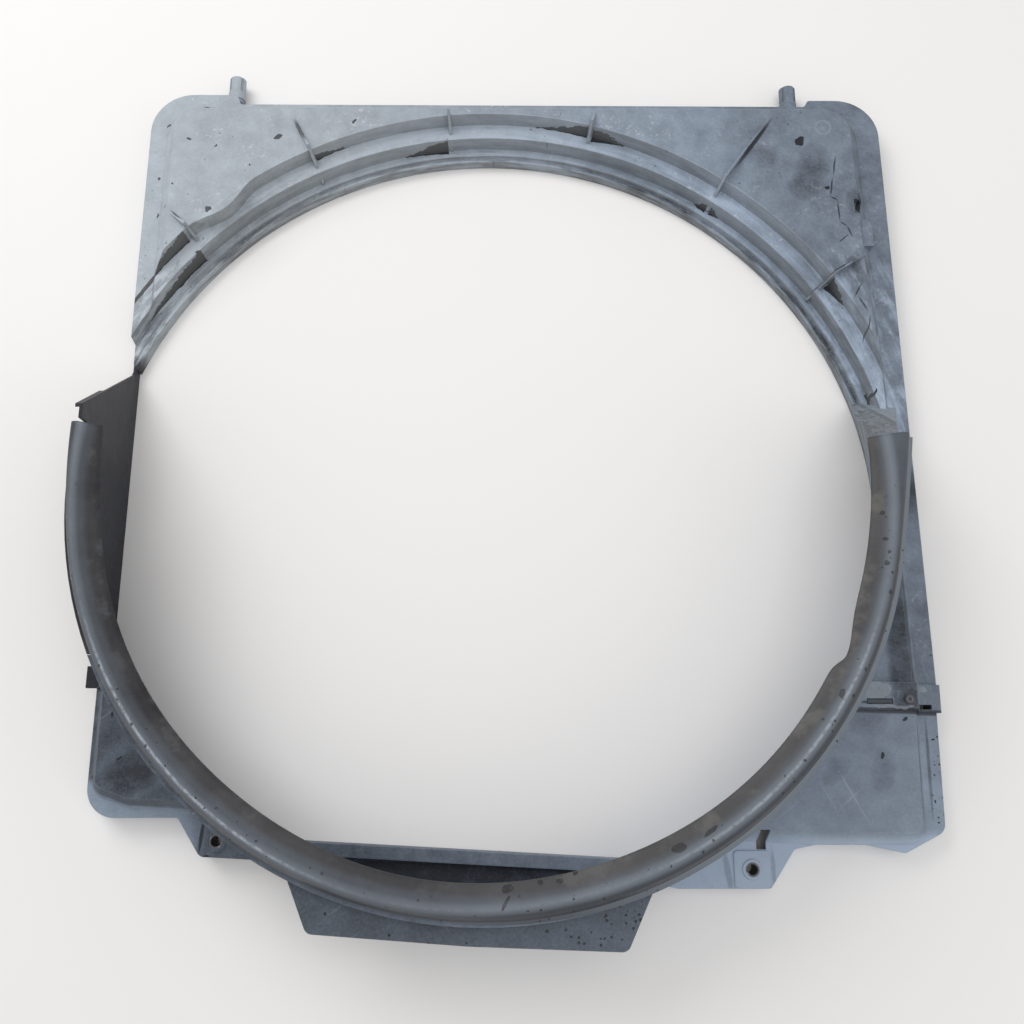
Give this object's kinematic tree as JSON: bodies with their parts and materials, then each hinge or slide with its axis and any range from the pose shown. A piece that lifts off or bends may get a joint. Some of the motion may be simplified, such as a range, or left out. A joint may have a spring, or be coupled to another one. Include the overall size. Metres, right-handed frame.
{
  "type": "radiator fan shroud",
  "caption": "Moulded fan shroud: a frame that leads the air of a vehicle radiator into a large round fan opening, with a rubber half-ring lip and a low stepped upper half.",
  "frame": {"origin": "on the fan axis, level with the face that meets the radiator", "axes": "+Z from the radiator towards the fan, +Y up on the vehicle, +X to the right seen from the fan"},
  "size_m": [0.8325, 0.9197, 0.1442],
  "materials": {
    "moulded_plastic": "weathered",
    "lip_rubber": "satin",
    "zinc_steel": "satin",
    "rivet_aluminium": "satin"
  },
  "bodies": {
    "root": {"upper_shroud": "moulded_plastic", "lower_shroud": "moulded_plastic", "ring_seal": "lip_rubber", "seal_rivets": "rivet_aluminium", "lower_deflector": "moulded_plastic", "deflector_rivets": "rivet_aluminium", "left_tab_sleeve": "zinc_steel", "right_tab_sleeve": "zinc_steel", "left_seam_screw": "zinc_steel", "left_seam_washer": "zinc_steel", "left_clip_nut": "zinc_steel", "right_seam_screw": "zinc_steel", "right_seam_washer": "zinc_steel", "right_clip_nut": "zinc_steel"}
  },
  "joints": []
}
